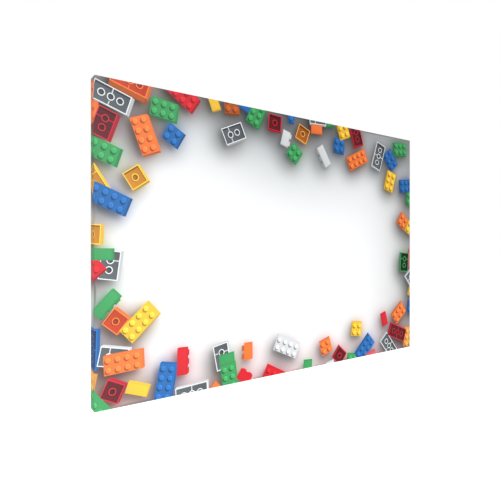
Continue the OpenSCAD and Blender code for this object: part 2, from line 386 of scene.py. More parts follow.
# %% [markdown]
# ## Soft shadows on the white ground
# Between the bricks the picture shows the table they lie on, white in the
# middle and grey where bricks crowd together. The shade is worked out as a
# grid over the cloth: where a brick covers the table the grid is 1, and
# blurred copies of it, moved away from the lamp, are the shadows. The same
# blur applied to the inks tints the table beside a strong colour.

# %% Work out the shade
GRID = 2.0
MARGIN = 120.0
CLOSE_BLUR, CLOSE_SHIFT = 5.0, 7
WIDE_BLUR, WIDE_SHIFT = 20.0, 14
TINT_BLUR = 14.0
cols = int((FACE_W + 2 * MARGIN) / GRID)
rows = int((FACE_H + 2 * MARGIN) / GRID)
grid_u, grid_v = np.meshgrid(
    (np.arange(cols) + 0.5) * GRID - MARGIN, (np.arange(rows) + 0.5) * GRID - MARGIN
)
covered = np.zeros((rows, cols))
tint = np.zeros((rows, cols, 3))
for lies, name, long, wide, u, v, turn in BRICKS:
    half_long = long * STUD_PITCH / 2
    half_wide = BRICK_H / 2 if lies == SIDE else wide * STUD_PITCH / 2
    a = math.radians(turn)
    along = (grid_u - u) * math.cos(a) + (grid_v - v) * math.sin(a)
    across = (grid_v - v) * math.cos(a) - (grid_u - u) * math.sin(a)
    inside = (abs(along) < half_long) & (abs(across) < half_wide)
    covered[inside] = 1
    tint[inside] = INKS[name][0]


def blurred(field, sigma):
    """The field blurred by sigma millimetres, with its edge values carried on outside."""
    reach = int(3 * sigma / GRID)
    weights = np.exp(-0.5 * (np.arange(-reach, reach + 1) * GRID / sigma) ** 2)
    weights /= weights.sum()
    for axis in (0, 1):
        pads = [(0, 0)] * field.ndim
        pads[axis] = (reach, reach)
        padded = np.pad(field, pads, mode="edge")
        size = field.shape[axis]
        field = sum(
            w * np.take(padded, range(k, k + size), axis) for k, w in enumerate(weights)
        )
    return field


def sampled(field, u, v):
    """The field's value at points, between its cells."""
    x = np.clip((np.asarray(u) + MARGIN) / GRID - 0.5, 0, cols - 1.001)
    y = np.clip((np.asarray(v) + MARGIN) / GRID - 0.5, 0, rows - 1.001)
    i, j = x.astype(int), y.astype(int)
    s, t = x - i, y - j
    if field.ndim == 3:
        s, t = s[:, None], t[:, None]
    top = field[j, i] * (1 - s) + field[j, i + 1] * s
    low = field[j + 1, i] * (1 - s) + field[j + 1, i + 1] * s
    return top * (1 - t) + low * t


close_shade = blurred(covered, CLOSE_BLUR)
wide_shade = blurred(covered, WIDE_BLUR)
tint_blur = blurred(tint, TINT_BLUR)
tint_share = blurred(covered, TINT_BLUR)
print("shade grid:", covered.shape, "covered:", round(float(covered.mean()), 3))

# %% [markdown]
# ## The light in the picture
# The table darkens by the shadows and by a gloom that fades inwards from the
# top and right edges, and the bottom edge has a faint warm glow. Strengths are
# exponents, as for light that passes one grey glass after another. The inks
# follow a plainer rule: painted light makes them lighter at the left and the
# bottom, and painted stray light lifts them at the left.

# %% Light the picture
OPEN_LIGHT, CLOSE_DARK, WIDE_DARK = 0.06, 0.59, 1.97
RIGHT_DARK, RIGHT_REACH = 0.8, 90
TOP_DARK, TOP_REACH = 0.82, 98
HEAP_DARK, HEAP_U, HEAP_REACH = 0.85, 480, 220
FOOT_GLOW, FOOT_REACH = 0.24, 50
BOUNCE, MOST_BOUNCE = 0.8, 0.5
COOL_SHADE = np.array([1.04, 1.0, 0.97])
WARM_SHADE = np.array([0.0, 1.0, 0.9])
TABLE_WHITE = np.array([0.955, 0.965, 0.97])
# painted light on the inks: lighter at the left and the bottom than at the top right
PAINTED_LIGHT, PAINTED_LIGHT_RIGHT, PAINTED_LIGHT_LOW, PAINTED_LIGHT_OVER = 0.82, 0.12, 0.27, 0.05
# painted stray light, which lifts the inks at the left
STRAY_LIGHT, STRAY_LIGHT_REACH = 0.035, 350
STRAY_LIGHT_TINT = np.array([0.8, 0.95, 1.0])


def ground_colour(u, v):
    """The white table's colour at points of the cloth."""
    near = sampled(close_shade, u + CLOSE_SHIFT, v - CLOSE_SHIFT)
    wide = sampled(wide_shade, u + WIDE_SHIFT, v - WIDE_SHIFT)
    gloom = RIGHT_DARK * np.exp(-abs(FACE_W - u) / RIGHT_REACH)
    light = np.exp(OPEN_LIGHT - CLOSE_DARK * near - WIDE_DARK * wide - gloom)[:, None]
    heap = TOP_DARK + HEAP_DARK * np.exp(-(((u - HEAP_U) / HEAP_REACH) ** 2))
    top = (heap * np.exp(-abs(v) / TOP_REACH))[:, None]
    foot = FOOT_GLOW * np.exp(-abs(FACE_H - v) / FOOT_REACH)[:, None]
    light = light * np.exp(-top * COOL_SHADE - foot * WARM_SHADE)
    share = sampled(tint_share, u, v)
    beside = sampled(tint_blur, u, v) / np.maximum(share, 0.02)[:, None]
    mix = np.clip(BOUNCE * share, 0, MOST_BOUNCE)[:, None]
    bounce = (1 - mix) + mix * beside / np.maximum(beside.max(1, keepdims=True), 0.1)
    return np.minimum(light, 1) * bounce * TABLE_WHITE


def tone(u, v):
    """Painted light: how much lighter the picture's inks are at the left and the bottom than at
    the top right.
    """
    right, low = (np.clip(at, -PAINTED_LIGHT_OVER, 1 + PAINTED_LIGHT_OVER) for at in (u / FACE_W, v / FACE_H))
    return PAINTED_LIGHT - PAINTED_LIGHT_RIGHT * right + PAINTED_LIGHT_LOW * low


def painted_stray_light(u):
    """Painted stray light that lifts the inks at the left of the picture."""
    return STRAY_LIGHT * np.clip(1 - u / STRAY_LIGHT_REACH, 0, 1)[:, None] * STRAY_LIGHT_TINT


print("lightest ground:", TABLE_WHITE)

# %% [markdown]
# ## One mesh from all the patches
# A constrained Delaunay triangulation cuts the whole cloth along every
# outline at once, and says which patches cover each triangle. The topmost one
# gives the ink, so every edge of the print is a true edge in the mesh and
# stays sharp at any distance. The outline of the cut cloth is a cross: the
# face, four sides and four hems with mitred ends. Extra points carry the soft
# shading, and lines along the folds let the cloth bend.

# %% Cut the cloth
FOLD_R = 1.1
BACK_R = 1.2
PRINT_OVER = 9.0
POINT_STEP = 6.5
ROW_STEP = 0.87 * POINT_STEP
FIRST_POINT = 3
SAME_POINT = 1e-4
FIRST_PATCH = 2  # the cloth's own outline and the print's come before the patches
far = SIDE_D + HEM_W


def cloth_outline():
    """The cut cloth, clockwise on the page from the face's top left corner."""
    w, h, d, m = FACE_W, FACE_H, SIDE_D, HEM_W
    return np.array([
        [0, 0], [0, -d], [m, -d - m], [w - m, -d - m], [w, -d],
        [w, 0], [w + d, 0], [w + d + m, m], [w + d + m, h - m], [w + d, h],
        [w, h], [w, h + d], [w - m, h + d + m], [m, h + d + m], [0, h + d],
        [0, h], [-d, h], [-d - m, h - m], [-d - m, m], [-d, 0],
    ])


def fold_lines(size):
    """Where the cloth bends, along one direction: close lines at each fold."""
    steps = np.array([-1.0, -0.55, 0.0, 0.55, 1.0])
    one = np.concatenate([FOLD_R * steps, BACK_R * steps - SIDE_D])
    return np.concatenate([one, size - one])


outline = cloth_outline()
printed = box_outline(
    -SIDE_D - PRINT_OVER, -SIDE_D - PRINT_OVER,
    FACE_W + SIDE_D + PRINT_OVER, FACE_H + SIDE_D + PRINT_OVER,
)
points, edges, faces = [], [], []


def twice_area(shape):
    """Twice an outline's area, negative if it runs the other way round."""
    ahead = np.roll(shape, -1, axis=0)
    return float((shape[:, 0] * ahead[:, 1] - ahead[:, 0] * shape[:, 1]).sum())


def add_face(shape):
    """Gives the triangulation one closed outline, which has to run the one way round."""
    start = len(points)
    if twice_area(shape) < 0:
        shape = shape[::-1]
    points.extend(shape.tolist())
    faces.append(list(range(start, len(points))))


def add_line(a, b):
    """Gives the triangulation one straight line."""
    points.extend([a, b])
    edges.append((len(points) - 2, len(points) - 1))


add_face(outline)
add_face(printed)
for shape, _, _ in patches:
    add_face(shape)
for u in fold_lines(FACE_W):
    add_line([u, -far], [u, FACE_H + far])
for v in fold_lines(FACE_H):
    add_line([-far, v], [FACE_W + far, v])
for k, v in enumerate(np.arange(-far + FIRST_POINT, FACE_H + far, ROW_STEP)):
    start = -far + FIRST_POINT + (k % 2) * POINT_STEP / 2
    points += [[u, v] for u in np.arange(start, FACE_W + far, POINT_STEP)]
print("points in:", len(points), "outlines:", len(faces))
flat_points, _, flat_faces, _, _, covers = delaunay_2d_cdt(
    [Vector(p) for p in points], edges, faces, 0, SAME_POINT, True
)
kept = [k for k, under in enumerate(covers) if 0 in under]
flat_points = np.array([tuple(p) for p in flat_points])
triangles = np.array([flat_faces[k] for k in kept])
topmost = np.array([max(covers[k]) for k in kept])
on_print = np.array([1 in covers[k] for k in kept])
print("triangles:", len(triangles))

# %% [markdown]
# ## Folding the cloth
# Each flat point is carried onto a sharp box first: what lies past the face
# goes down a side, and what lies past the side goes in over the back. Then
# the box's edges are rounded by pushing every point out to a fixed distance
# from a smaller box inside. The radii are small, because the cork and the bars
# have sharp corners half a millimetre under the cloth. Near the corners of the
# top and bottom sides the spare cloth is tucked under, so the cloth stands
# half a millimetre proud there, with a step where the fold ends.

# %% Fold the cloth round the board
TUCK_W = 21.0
TUCK_T = 0.45
TUCK_STEP = 0.3
TUCK_FROM_CORNER = (1, 3)
TUCK_FROM_FACE = (1, 4)
TUCK_OVER_BACK = (0, 6)
RADIUS_CHANGE = (8, 18)


def folded(u, v):
    """Where flat points of the cloth go on the board, in the row frame."""
    x, z = u - HALF_W, HALF_H - v
    past_x, past_z = abs(x) - HALF_W, abs(z) - HALF_H
    round_side = (past_x > past_z) & (past_x > 0)
    round_end = ~round_side & (past_z > 0)
    past = np.maximum(np.maximum(past_x, past_z), 0)
    depth = np.minimum(past, SIDE_D)
    over = np.maximum(past - SIDE_D, 0)
    box_x = np.where(round_side, np.sign(x) * (HALF_W - over), x)
    box_z = np.where(round_end, np.sign(z) * (HALF_H - over), z)
    radius = np.interp(depth, RADIUS_CHANGE, [FOLD_R, BACK_R])
    box = np.stack([box_x, depth - SIDE_D / 2, box_z], axis=1)
    half = np.array([HALF_W, SIDE_D / 2, HALF_H])
    inner = np.clip(box, radius[:, None] - half, half - radius[:, None])
    away = box - inner
    out = inner + away * (radius / np.linalg.norm(away, axis=1))[:, None]
    from_corner = HALF_W - abs(box_x)
    reach = [*TUCK_FROM_CORNER, TUCK_W, TUCK_W + TUCK_STEP]
    tuck = np.interp(from_corner, reach, [0, TUCK_T, TUCK_T, 0])
    fade_in = np.interp(depth, TUCK_FROM_FACE, [0, 1])
    tuck *= fade_in * np.interp(over, TUCK_OVER_BACK, [1, 0]) * round_end
    out[:, 2] += np.sign(z) * tuck
    out[:, 1] += SIDE_D / 2
    return out * MM + np.array([0, FRONT_Y, MID_Z])


corners = flat_points[triangles].reshape(-1, 2)
on_board = folded(flat_points[:, 0], flat_points[:, 1])
print("folded from", on_board.min(0).round(4), "to", on_board.max(0).round(4))

# %% [markdown]
# ## The cloth as a mesh
# The triangles become one mesh. Its colours are stored for each corner of
# each triangle, so that two inks can meet along an edge without blending,
# and its UV map holds the flat cloth in metres, which the weave follows
# round every fold.

# %% Build the cover
RAW_CANVAS = ink(232, 226, 212)
DARKEST, LIGHTEST = 0.004, 0.97
layers = [(MIDDLE[None], np.zeros(3), 0.0)] * FIRST_PATCH + patches
inks_of = np.array([layer[1] for layer in layers])
slopes = np.array([layer[2] for layer in layers])
centres = np.array([layer[0].mean(0) for layer in layers])
ids = np.repeat(topmost, 3)
u, v = corners[:, 0], corners[:, 1]
slope = ((corners - centres[ids]) @ TO_LAMP) * slopes[ids]
# the inks carry painted light (tone) and painted stray light on top of the print
colours = inks_of[ids] * (1 + slope)[:, None] * tone(u, v)[:, None] + painted_stray_light(u)
is_ground = ids < FIRST_PATCH
colours[is_ground] = ground_colour(u[is_ground], v[is_ground])
colours[~np.repeat(on_print, 3)] = RAW_CANVAS
colours = np.clip(colours, DARKEST, LIGHTEST)

mesh = bpy.data.meshes.new("canvas_cover")
mesh.from_pydata(on_board.tolist(), [], triangles.tolist())
mesh.update()
weave_map = mesh.uv_layers.new(name="cloth")
order = np.zeros(len(mesh.loops), int)
mesh.loops.foreach_get("vertex_index", order)
weave_map.data.foreach_set("uv", (flat_points[order] * MM).ravel())
dye = mesh.color_attributes.new("print", "FLOAT_COLOR", "CORNER")
rgba = np.ones((len(mesh.loops), 4))
rgba[:, :3] = colours
dye.data.foreach_set("color", rgba.ravel().astype(np.float32))
HEM_LIP = 0.45
HEM_SLACK = 0.1
SEAM_GAP = 2e-6
NO_AREA = 1e-14


def in_scene(name, data):
    """A new object of the given data, in the scene."""
    made = bpy.data.objects.new(name, data)
    bpy.context.scene.collection.objects.link(made)
    return made


def close_seams(thing):
    """Joins the corner seams, turns the faces outwards and turns the hem's raw edge in."""
    work = bmesh.new()
    work.from_mesh(thing.data)
    bmesh.ops.remove_doubles(work, verts=work.verts, dist=SEAM_GAP)
    loose = [f for f in work.faces if f.calc_area() < NO_AREA]
    bmesh.ops.delete(work, geom=loose, context="FACES_ONLY")
    work.normal_update()
    front = min(work.faces, key=lambda f: f.calc_center_median().y)
    if front.normal.y > 0:
        bmesh.ops.reverse_faces(work, faces=work.faces)
    inner_x, inner_z = ((half - HEM_W + HEM_SLACK) * MM for half in (HALF_W, HALF_H))
    rim = [
        e for e in work.edges
        if e.is_boundary
        and all(abs(p.co.x) < inner_x and abs(p.co.z - MID_Z) < inner_z for p in e.verts)
    ]
    turned_in = bmesh.ops.extrude_edge_only(work, edges=rim)["geom"]
    lower = [g for g in turned_in if isinstance(g, bmesh.types.BMVert)]
    bmesh.ops.translate(work, verts=lower, vec=Vector((0, -HEM_LIP * MM, 0)))
    for face in work.faces:
        face.smooth = True
    unused = [p for p in work.verts if not p.link_faces]
    bmesh.ops.delete(work, geom=unused, context="VERTS")
    work.to_mesh(thing.data)
    work.free()
    return len(rim)


cover = in_scene("canvas_cover", mesh)
rim_edges = close_seams(cover)
print("cover:", len(cover.data.polygons), "triangles,", rim_edges, "edges on the hem")

# %% [markdown]
# ## Helpers for node trees
# Materials and geometry trees are built by script, and these helpers keep the
# cells short.

# %% Node helpers


def fill(tree, node, inputs):
    """Fills a node's inputs. Each takes a value, or a socket to link from."""
    for key, value in inputs.items():
        if isinstance(value, bpy.types.NodeSocket):
            tree.links.new(value, node.inputs[key])
        else:
            node.inputs[key].default_value = value


def add(tree, kind, inputs=None, **settings):
    """A new node, set and filled."""
    made = tree.nodes.new(kind)
    for name, value in settings.items():
        setattr(made, name, value)
    fill(tree, made, inputs or {})
    return made


def calc(tree, operation, *values):
    """One arithmetic step, as an output socket."""
    return add(tree, "ShaderNodeMath", dict(enumerate(values)), operation=operation).outputs[0]


def times_plus(tree, value, factor, offset):
    """A value times a factor, plus an offset."""
    return calc(tree, "MULTIPLY_ADD", value, factor, offset)


def vector(tree, operation, inputs):
    """One step of vector arithmetic, as an output socket."""
    return add(tree, "ShaderNodeVectorMath", inputs, operation=operation).outputs[0]


def noise(tree, place, scale, detail=2.0, roughness=0.5, out="Fac"):
    """Soft noise over the surface."""
    inputs = {"Vector": place, "Scale": scale, "Detail": detail, "Roughness": roughness}
    return add(tree, "ShaderNodeTexNoise", inputs).outputs[out]


def drawn_out(tree, place, factors, detail=2.0):
    """Noise with its own scale along each axis."""
    return noise(tree, vector(tree, "MULTIPLY", {0: place, 1: factors}), 1.0, detail)


def two_tone(tree, share, first, second):
    """A colour between two."""
    inputs = {"Factor": share, "A": first, "B": second}
    return add(tree, "ShaderNodeMix", inputs, data_type="RGBA").outputs["Result"]


def paint(red, green, blue):
    """A screen colour as a node's colour."""
    return (*ink(red, green, blue), 1.0)


def new_group(name, kind, inputs, outputs):
    """An empty node group, with its input sockets and its output node."""
    tree = bpy.data.node_groups.new(name, kind)
    for way, sockets in (("INPUT", inputs), ("OUTPUT", outputs)):
        for label, socket, *value in sockets:
            made = tree.interface.new_socket(
                label, in_out=way, socket_type="NodeSocket" + socket)
            if value:
                made.default_value = value[0]
    return tree, tree.nodes.new("NodeGroupInput").outputs, tree.nodes.new("NodeGroupOutput")


def use_group(tree, group, **inputs):
    """A group placed in a tree, its inputs given by name with _ for a space."""
    named = {key.replace("_", " "): value for key, value in inputs.items()}
    return add(tree, "ShaderNodeGroup", named, node_tree=group).outputs


def new_material(name):
    """A material with its tree, its shader and its Object coordinates."""
    material = bpy.data.materials.new(name)
    material.use_nodes = True
    tree = material.node_tree
    place = tree.nodes.new("ShaderNodeTexCoord").outputs["Object"]
    return material, tree, tree.nodes["Principled BSDF"], place


def surface(tree, shader, colour, roughness, height, relief, depth):
    """Feeds the shader a colour, a roughness and a bump of the given height."""
    inputs = {"Height": height, "Strength": relief, "Distance": depth}
    normal = add(tree, "ShaderNodeBump", inputs).outputs["Normal"]
    fill(tree, shader, {"Base Color": colour, "Roughness": roughness, "Normal": normal})


print("helpers ready")

# %% [markdown]
# ## Canvas weave
# Canvas is a plain weave: each thread goes over one and under the next. The
# group turns flat cloth coordinates into the height of the uppermost thread,
# from a sine across the thread and a slower one along it, and adds slubs,
# which are thicker stretches of yarn. The printed face and the raw hem share
# the material that uses it.

# %% Weave group
SWAY, SWAY_SCALE = (0.9, 0.9, 0.0), 90.0
SLUB_SCALE = (40.0, 900.0, 1.0)
weave, given, result = new_group(
    "plain_weave", "ShaderNodeTree",
    [("Cloth", "Vector"), ("Threads per metre", "Float", 1500.0), ("Slub", "Float", 0.3)],
    [("Height", "Float"), ("Shade", "Float")],
)
in_threads = vector(weave, "SCALE", {0: given["Cloth"], "Scale": given["Threads per metre"]})
sway = noise(weave, given["Cloth"], SWAY_SCALE, out="Color")
swayed = vector(weave, "MULTIPLY_ADD", {0: sway, 1: SWAY, 2: in_threads})
split = add(weave, "ShaderNodeSeparateXYZ", {0: swayed}).outputs


def thread_height(across, along, sign):
    """Height of one set of threads: round across, and up and down along."""
    shape = calc(weave, "ABSOLUTE", calc(weave, "SINE", calc(weave, "MULTIPLY", across, math.pi)))
    row = calc(weave, "ADD", along, calc(weave, "FLOOR", across))
    beat = calc(weave, "SINE", calc(weave, "MULTIPLY", row, math.pi))
    return calc(weave, "MULTIPLY", shape, times_plus(weave, beat, 0.5 * sign, 0.5))


warp = thread_height(split["X"], split["Y"], 1)
weft = thread_height(split["Y"], split["X"], -1)
upper = calc(weave, "MAXIMUM", warp, weft)
slub = drawn_out(weave, given["Cloth"], SLUB_SCALE, 1.0)
# the Shade output is painted shade: darker where the threads dip into the hollows
fill(weave, result, {
    "Height": times_plus(weave, slub, given["Slub"], upper),
    "Shade": times_plus(weave, upper, 0.16, 0.89),
})
print("weave nodes:", len(weave.nodes))

# %% [markdown]
# ## The printed canvas
# The print lies in the yarn, so its colour is the dye attribute, with painted shade
# that makes it a little darker in the hollows between threads. The ink dries to a
# soft satin, which a middling roughness gives, and a trace of sheen stands for the yarn's fuzz.

# %% Printed canvas material
canvas, tree, shader = new_material("printed_canvas")[:3]
cloth_uv = add(tree, "ShaderNodeUVMap", uv_map="cloth").outputs["UV"]
dye_colour = add(tree, "ShaderNodeAttribute", attribute_name="print").outputs["Color"]
woven = use_group(tree, weave, Cloth=cloth_uv, Threads_per_metre=1250.0, Slub=0.3)
shaded = vector(tree, "SCALE", {0: dye_colour, "Scale": woven["Shade"]})
rough = times_plus(tree, woven["Height"], -0.12, 0.78)
surface(tree, shader, shaded, rough, woven["Height"], 0.6, 0.0003)
fill(tree, shader, {"Specular IOR Level": 0.12, "Sheen Weight": 0.02})
cover.data.materials.append(canvas)
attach(cover, "board")
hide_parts("printed_cover")

# %% [markdown]
# ## Staples and loose threads
# The hem is held by a row of staples, and its cut edge sheds short threads.
# Both repeat along a path, so one Geometry Nodes tree makes either: it
# spaces points along the path, puts a copy of a small piece on each, turns
# it a little at random and makes the copies real.

# %% Tree that repeats a piece along a path
along_path, given, result = new_group(
    "repeat_along_path", "GeometryNodeTree",
    [("Path", "Geometry"), ("Piece", "Object"), ("Spacing", "Float", 0.07),
     ("Turn wander", "Float", 0.05), ("Smallest", "Float", 1.0), ("Seed", "Int", 1),
     ("Finish", "Material")],
    [("Geometry", "Geometry")],
)


def step(kind, inputs=None, **settings):
    """One node of the tree, as its first live output."""
    return next(s for s in add(along_path, kind, inputs, **settings).outputs if s.enabled)


def at_random(least, most):
    """A number for each copy."""
    inputs = {"Min": least, "Max": most, "Seed": given["Seed"]}
    return step("FunctionNodeRandomValue", inputs, data_type="FLOAT")


line = step("GeometryNodeMeshToCurve", {0: given["Path"]})
spaced = step(
    "GeometryNodeResampleCurve", {"Curve": line, "Length": given["Spacing"]}, mode="LENGTH")
tangent = step("GeometryNodeInputTangent")
outwards = step("FunctionNodeAlignRotationToVector", {"Vector": (0.0, 1.0, 0.0)}, axis="Z")
lined_up = step(
    "FunctionNodeAlignRotationToVector", {"Rotation": outwards, "Vector": tangent},
    axis="X", pivot_axis="Z",
)
least_turn = calc(along_path, "MULTIPLY", given["Turn wander"], -1.0)
spin = step("ShaderNodeCombineXYZ", {"Z": at_random(least_turn, given["Turn wander"])})
turn_each = step(
    "FunctionNodeRotateRotation",
    {"Rotation": lined_up, "Rotate By": step("FunctionNodeEulerToRotation", {0: spin})},
    rotation_space="LOCAL",
)
piece_in = add(
    along_path, "GeometryNodeObjectInfo", {"Object": given["Piece"]}, transform_space="ORIGINAL"
).outputs["Geometry"]
copies = step("GeometryNodeInstanceOnPoints", {
    "Points": spaced, "Instance": piece_in, "Rotation": turn_each,
    "Scale": at_random(given["Smallest"], 1.0),
})
real = step("GeometryNodeRealizeInstances", {0: copies})
finished = step("GeometryNodeSetMaterial", {"Geometry": real, "Material": given["Finish"]})
fill(along_path, result, {0: finished})
print("tree nodes:", len(along_path.nodes))

# %% Helpers that run the tree


def mesh_object(name, points, faces=(), edges=()):
    """An object in the scene, from points in metres."""
    data = bpy.data.meshes.new(name)
    data.from_pydata([tuple(p) for p in points], list(edges), [tuple(f) for f in faces])
    return in_scene(name, data)


def swept(name, path, across, profile):
    """A tube of the given profile along a path, with its ends closed."""
    path = np.asarray(path, float)
    rings, faces = [], []
    for k, p in enumerate(path):
        way = path[min(k + 1, len(path) - 1)] - path[max(k - 1, 0)]
        way /= np.linalg.norm(way)
        side = np.asarray(across, float)
        up = np.cross(way, side)
        rings += [p + side * a + up * b for a, b in profile]
    n = len(profile)
    for k in range(len(path) - 1):
        for i in range(n):
            j = (i + 1) % n
            faces.append((k * n + i, k * n + j, (k + 1) * n + j, (k + 1) * n + i))
    faces.append(tuple(range(n - 1, -1, -1)))
    faces.append(tuple(range(len(rings) - n, len(rings))))
    made = mesh_object(name, rings, faces)
    work = bmesh.new()
    work.from_mesh(made.data)
    bmesh.ops.recalc_face_normals(work, faces=work.faces)
    work.to_mesh(made.data)
    work.free()
    return made


def repeated(name, path, piece, finish, **inputs):
    """Copies of a piece along a path, as one plain mesh."""
    modifier = path.modifiers.new("repeat", "NODES")
    modifier.node_group = along_path
    values = {"Piece": piece, "Finish": finish}
    values.update({key.replace("_", " "): value for key, value in inputs.items()})
    for socket in along_path.interface.items_tree:
        if socket.item_type == "SOCKET" and socket.name in values:
            modifier[socket.identifier] = values[socket.name]
    now = bpy.context.evaluated_depsgraph_get()
    data = bpy.data.meshes.new_from_object(path.evaluated_get(now))
    data.name = name
    bpy.data.objects.remove(path)
    bpy.data.objects.remove(piece)
    return in_scene(name, data)


def back_frame(inset, end_gap):
    """Four lines on the hem, inset from the board's sides and stopped short of the corners."""
    x, z = (HALF_W - inset) * MM, (HALF_H - inset) * MM
    gap_x, gap_z = (HALF_W - end_gap) * MM, (HALF_H - end_gap) * MM
    ends = [(gap_x, z), (-gap_x, z), (-x, gap_z), (-x, -gap_z)]
    points = [(s * a, HEM_Y, MID_Z + s * b) for s in (1, -1) for a, b in ends]
    return mesh_object("path", points, edges=[(0, 1), (2, 3), (4, 5), (6, 7)])


print("helpers ready")

# %% [markdown]
# ## Metal finishes
# The fittings are steel with a bright zinc plate. Plating isn't even: it is
# a little lighter or darker and rougher in patches, and carries fine scratches.
# Each fitting uses one group at its own strength.

# %% Plated metal group and materials
CLOUD_SCALE = 420.0
SCRATCH_SCALE = (260.0, 260.0, 5200.0)
SCRATCH_DEPTH = 0.00005
plating, given, result = new_group(
    "zinc_plating", "ShaderNodeTree",
    [("Place", "Vector"), ("Tone", "Color", (0.6, 0.61, 0.63, 1.0)),
     ("Roughness", "Float", 0.3), ("Mottle", "Float", 0.12)],
    [("Color", "Color"), ("Roughness", "Float"), ("Height", "Float")],
)
clouds = noise(plating, given["Place"], CLOUD_SCALE, 4.0)
uneven = times_plus(plating, calc(plating, "SUBTRACT", clouds, 0.5), given["Mottle"], 1.0)
fill(plating, result, {
    "Color": vector(plating, "SCALE", {0: given["Tone"], "Scale": uneven}),
    "Roughness": times_plus(plating, clouds, given["Mottle"], given["Roughness"]),
    "Height": drawn_out(plating, given["Place"], SCRATCH_SCALE),
})


def plated(name, tone_colour, roughness, mottle, relief):
    """A zinc finish with its own tone, roughness and scratches."""
    material, tree, shader, place = new_material(name)
    out = use_group(tree, plating, Place=place, Tone=(*tone_colour, 1.0),
                    Roughness=roughness, Mottle=mottle)
    surface(tree, shader, out["Color"], out["Roughness"], out["Height"], relief, SCRATCH_DEPTH)
    fill(tree, shader, {"Metallic": 1.0})
    return material


# tone, roughness, mottle, relief
PLATES = {
    "zinc_plate": ((0.62, 0.63, 0.66), 0.27, 0.3, 0.35),
    "zinc_screw": ((0.54, 0.55, 0.59), 0.3, 0.35, 0.3),
    "ring_steel": ((0.68, 0.68, 0.7), 0.2, 0.25, 0.2),
    "galvanised_wire": ((0.6, 0.6, 0.6), 0.36, 0.4, 0.25),
    "bright_steel": ((0.55, 0.55, 0.56), 0.3, 0.3, 0.2),
}
METALS = {name: plated(name, *values) for name, values in PLATES.items()}
print("metal finishes:", ", ".join(METALS))

# %% Staples along the hem
STAPLE_W = 10.0
STAPLE_T = 0.6
STAPLE_LEG = 5.0
STAPLE_FROM_CORNER = 48.0
STAPLE_SPACING = 71.9
BEND_R = 0.9
BEVEL = 0.12


def staple_path():
    """Middle line of a staple: up one leg, over the crown and down the other."""
    half = (STAPLE_W - STAPLE_T) / 2
    top = STAPLE_T / 2
    bend = [
        (half - BEND_R * (1 - math.sin(a)), 0.0, top - BEND_R * (1 - math.cos(a)))
        for a in np.linspace(0, math.pi / 2, 6)
    ]
    right = bend + [(half, 0.0, top - STAPLE_LEG)]
    left = [(-x, y, z) for x, y, z in reversed(right)]
    return np.array(left + right) * MM


wire, thick = STAPLE_WIRE / 2, STAPLE_T / 2
half_profile = [(wire, -thick + BEVEL), (wire, thick - BEVEL), (wire - BEVEL, thick),
                (-wire + BEVEL, thick)]
staple_profile = np.array(half_profile + [(-a, -b) for a, b in half_profile])
staple = swept("staple", staple_path(), (0, 1, 0), staple_profile * MM)
staples = repeated(
    "hem_staples", back_frame(STAPLE_LINE, STAPLE_FROM_CORNER), staple,
    METALS["galvanised_wire"],
    Spacing=STAPLE_SPACING * MM, Turn_wander=0.06, Smallest=0.97, Seed=4,
)
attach(staples, "board")
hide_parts("cover_staples")
one_staple = len(staple_profile) * (len(staple_path()) - 1) + 2
print("staples:", len(staples.data.polygons) // one_staple)

# %% Loose threads on the hem's cut edge
THREAD_R = 0.16
THREAD_L = 3.4
THREAD_BEND = 0.35
THREAD_REST, THREAD_RISE = 0.18, 0.5
THREAD_SPACING = 2.3
yarn, tree, shader, place = new_material("raw_yarn")
fuzz = noise(tree, place, 900.0)
yarn_colour = two_tone(tree, fuzz, paint(214, 206, 188), paint(238, 233, 220))
fill(tree, shader, {"Base Color": yarn_colour, "Roughness": 0.9})
t = np.linspace(-0.15, 1, 6)
thread_path = np.stack([
    0.5 * t * t * THREAD_L * THREAD_BEND, THREAD_L * t,
    THREAD_REST + THREAD_RISE * np.sin(2.4 * t),
], axis=1)
round_profile = [(THREAD_R * math.cos(a), THREAD_R * math.sin(a))
                 for a in np.arange(4) * math.pi / 2]
thread = swept("thread", thread_path * MM, (1, 0, 0), np.array(round_profile) * MM)
threads = repeated(
    "hem_threads", back_frame(HEM_W - 0.4, HEM_W + 1), thread, yarn,
    Spacing=THREAD_SPACING * MM, Turn_wander=0.85, Smallest=0.3, Seed=9,
)
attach(threads, "board")
print("thread faces:", len(threads.data.polygons))

# %% [markdown]
# ## Wood
# A bar is sawn from a log, so its pattern is a slice through the year rings.
# The grain group measures the distance to a pith that lies outside the bar,
# bends it with noise that is drawn out along the grain, and turns it into
# pale early wood and darker late wood. Each bar turns and shifts the
# coordinates, so no two bars match and the ends show end grain.

# %% Grain group
WANDER, FIBRE, STREAK = (1.6, 45.0, 45.0), (26.0, 1300.0, 1300.0), (4.0, 160.0, 160.0)
LATE_SHARPNESS = 2.6
grain, given, result = new_group(
    "wood_grain", "ShaderNodeTree",
    [("Place", "Vector"), ("Early wood", "Color"), ("Late wood", "Color"),
     ("Rings per metre", "Float", 400.0), ("Waviness", "Float", 0.02)],
    [("Color", "Color"), ("Roughness", "Float"), ("Height", "Float")],
)
wander = drawn_out(grain, given["Place"], WANDER)
fibre = drawn_out(grain, given["Place"], FIBRE)
streak = drawn_out(grain, given["Place"], STREAK, 3.0)
across = vector(grain, "MULTIPLY", {0: given["Place"], 1: (0.0, 1.0, 1.0)})
from_pith = add(
    grain, "ShaderNodeVectorMath", {0: across}, operation="LENGTH").outputs["Value"]
bent = times_plus(grain, wander, given["Waviness"], from_pith)
ring = calc(grain, "FRACT", calc(grain, "MULTIPLY", bent, given["Rings per metre"]))
late = times_plus(grain, calc(grain, "POWER", ring, LATE_SHARPNESS), 0.55, -0.1)
late = times_plus(grain, streak, 0.35, late)
wood_colour = two_tone(grain, late, given["Early wood"], given["Late wood"])
fibre_shade = times_plus(grain, fibre, 0.3, 0.85)
